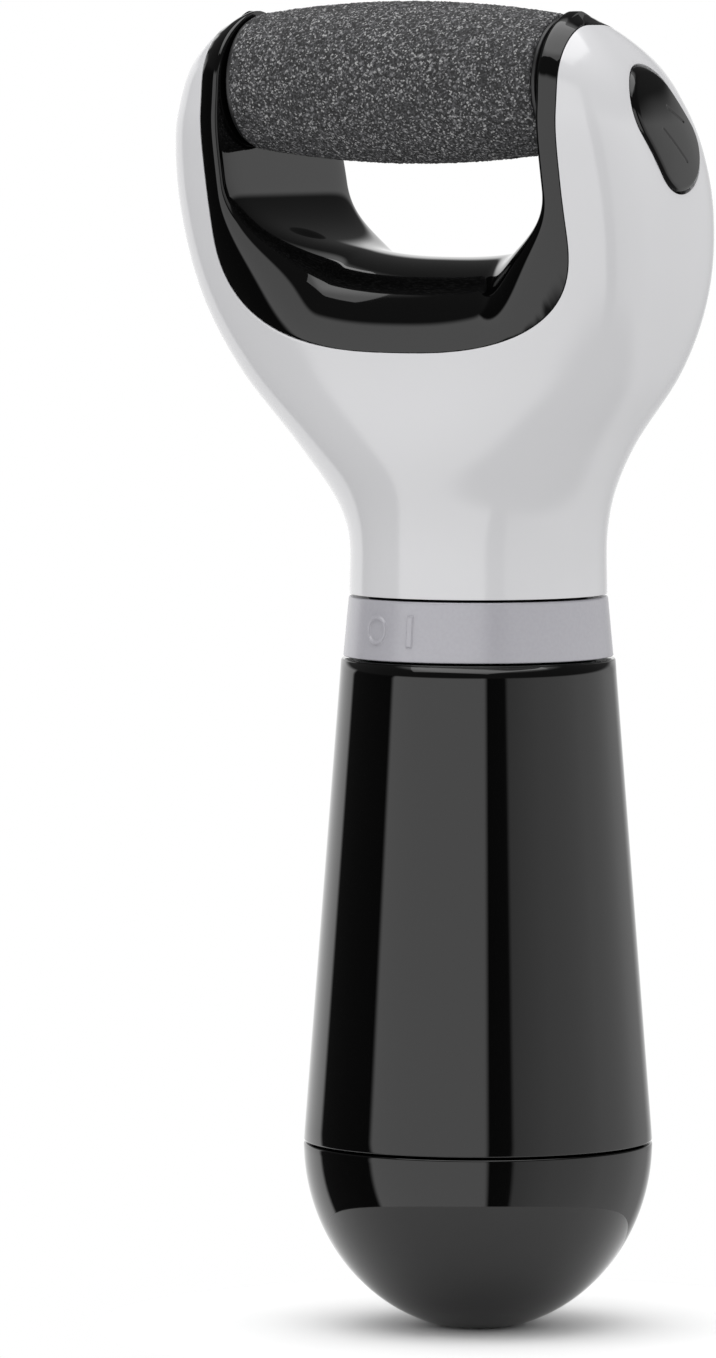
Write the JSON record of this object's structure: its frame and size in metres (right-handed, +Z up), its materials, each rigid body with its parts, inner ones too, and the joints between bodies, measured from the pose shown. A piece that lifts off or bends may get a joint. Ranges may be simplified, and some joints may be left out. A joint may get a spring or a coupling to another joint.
{
  "type": "electric callus remover",
  "caption": "Hand-held battery foot file: a motor-driven abrasive roller in a forked head, with a rotary on-off ring, a roller release button and a screw-off battery cap.",
  "frame": {"origin": "middle of the small moulded flat under the battery cap, on the handle's axis", "axes": "+Z up the handle's axis to the head, -Y to the front that the roller leans to, +X to the side with the release button"},
  "size_m": [0.0782, 0.0549, 0.1903],
  "materials": {
    "gloss_white": "gloss silver-white ABS",
    "gloss_black": "piano-black gloss ABS",
    "satin_grey": "satin moulded grey",
    "abrasive": "bonded mineral grit",
    "white_nylon": "moulded nylon",
    "black_nylon": "moulded nylon",
    "acetal": "natural acetal",
    "steel": "bright zinc-plated steel",
    "brass": "turned brass",
    "copper_winding": "enamelled copper wire on laminations",
    "seal_rubber": "nitrile rubber",
    "circuit_board": "solder-masked board",
    "cell_wrap": "printed film on a steel can"
  },
  "bodies": {
    "housing": {"head_front_shell": "gloss_white", "head_rear_cover": "gloss_white", "fork_liner": "gloss_black", "handle_shell": "gloss_black", "battery_cradle": "black_nylon", "battery_cell_1": "cell_wrap", "battery_cell_2": "cell_wrap", "battery_cell_3": "cell_wrap", "battery_cell_4": "cell_wrap", "cell_strap_1": "steel", "cell_strap_2": "steel", "switch_board": "circuit_board", "motor_can": "steel", "motor_end_bell": "black_nylon", "gearbox_frame": "black_nylon", "cross_bush_right": "brass", "cross_bush_left": "brass", "idler_axle_1": "steel", "idler_axle_2": "steel", "gear_plate": "steel", "drive_bush": "brass", "lever_pin": "steel", "latch_spring": "steel", "cover_screw_1": "steel", "cover_screw_2": "steel", "frame_screw_1": "steel", "frame_screw_2": "steel", "frame_screw_3": "steel", "plate_screw_1": "steel", "plate_screw_2": "steel"},
    "roller": {"abrasive_sleeve": "abrasive", "roller_core": "white_nylon", "roller_end_cap_left": "black_nylon", "roller_end_cap_right": "black_nylon"},
    "output_drive": {"output_gear": "acetal"},
    "idler_2": {"idler_gear_2": "acetal"},
    "idler_1": {"idler_gear_1": "acetal"},
    "cross_drive": {"cross_shaft": "steel", "crown_gear": "acetal", "lower_gear": "acetal"},
    "motor_rotor": {"motor_shaft": "steel", "motor_armature": "copper_winding", "motor_pinion": "brass"},
    "ring": {"switch_ring": "satin_grey", "contact_wiper": "brass"},
    "button": {"release_button": "gloss_black"},
    "lever": {"release_lever": "acetal"},
    "carrier": {"socket_carrier": "steel"},
    "socket": {"idler_socket": "acetal"},
    "contact_carriage": {"cap_contact_plate": "black_nylon", "contact_spring_1": "steel", "contact_spring_2": "steel", "contact_spring_3": "steel", "contact_spring_4": "steel"},
    "cap": {"battery_cap": "gloss_black", "cap_seal": "seal_rubber"}
  },
  "joints": [
    {"name": "roller_spin", "type": "hinge", "parent": "housing", "child": "roller", "pos_m": [0, -0.0183, 0.1788], "axis": [1, 0, 0], "continuous": true},
    {"name": "output_gear_spin", "type": "hinge", "parent": "housing", "child": "output_drive", "pos_m": [0, -0.0183, 0.1788], "axis": [1, 0, 0], "continuous": true},
    {"name": "idler_gear_2_spin", "type": "hinge", "parent": "housing", "child": "idler_2", "pos_m": [0, -0.01298, 0.16894], "axis": [1, 0, 0], "continuous": true},
    {"name": "idler_gear_1_spin", "type": "hinge", "parent": "housing", "child": "idler_1", "pos_m": [0, -0.00566, 0.15538], "axis": [1, 0, 0], "continuous": true},
    {"name": "cross_shaft_spin", "type": "hinge", "parent": "housing", "child": "cross_drive", "pos_m": [0, 0, 0.1449], "axis": [1, 0, 0], "continuous": true},
    {"name": "motor_shaft_spin", "type": "hinge", "parent": "housing", "child": "motor_rotor", "pos_m": [0, 0, 0.1], "axis": [0, 0, 1], "continuous": true},
    {"name": "switch_ring_turn", "type": "hinge", "parent": "housing", "child": "ring", "pos_m": [0, 0, 0.1], "axis": [0, 0, 1], "range_deg": [0, 18.8]},
    {"name": "release_button_press", "type": "slide", "parent": "housing", "child": "button", "axis": [-1, 0, 0], "range_m": [0, 0.0011], "stiffness_N_per_m": 350, "springref_m": -0.001, "deforming": ["latch_spring"]},
    {"name": "release_lever_turn", "type": "hinge", "parent": "housing", "child": "lever", "pos_m": [0.0296, -0.01287, 0.17125], "axis": [0, 0.8121, 0.5835], "range_deg": [0, 16]},
    {"name": "socket_carrier_slide", "type": "slide", "parent": "housing", "child": "carrier", "axis": [1, 0, 0], "range_m": [0, 0.0011]},
    {"name": "idler_socket_spin", "type": "hinge", "parent": "carrier", "child": "socket", "pos_m": [0, -0.0183, 0.1788], "axis": [1, 0, 0], "continuous": true},
    {"name": "battery_cap_travel", "type": "slide", "parent": "housing", "child": "contact_carriage", "axis": [0, 0, -1], "range_m": [0, 0.009]},
    {"name": "battery_cap_turn", "type": "hinge", "parent": "contact_carriage", "child": "cap", "pos_m": [0, 0, 0.0264], "axis": [0, 0, -1], "range_deg": [0, 135.1]}
  ],
  "couplings": [
    {"joint": "output_gear_spin", "follows": "roller_spin", "ratio": 1},
    {"joint": "idler_gear_2_spin", "follows": "roller_spin", "ratio": -0.45455},
    {"joint": "idler_gear_1_spin", "follows": "roller_spin", "ratio": 0.45455},
    {"joint": "cross_shaft_spin", "follows": "roller_spin", "ratio": -0.83333},
    {"joint": "motor_shaft_spin", "follows": "roller_spin", "ratio": 2.0833},
    {"joint": "idler_socket_spin", "follows": "roller_spin", "ratio": 1},
    {"joint": "release_lever_turn", "follows": "release_button_press", "rad_per_m": 250},
    {"joint": "socket_carrier_slide", "follows": "release_button_press", "ratio": 1},
    {"joint": "battery_cap_turn", "follows": "battery_cap_travel", "rad_per_m": 261.8}
  ]
}
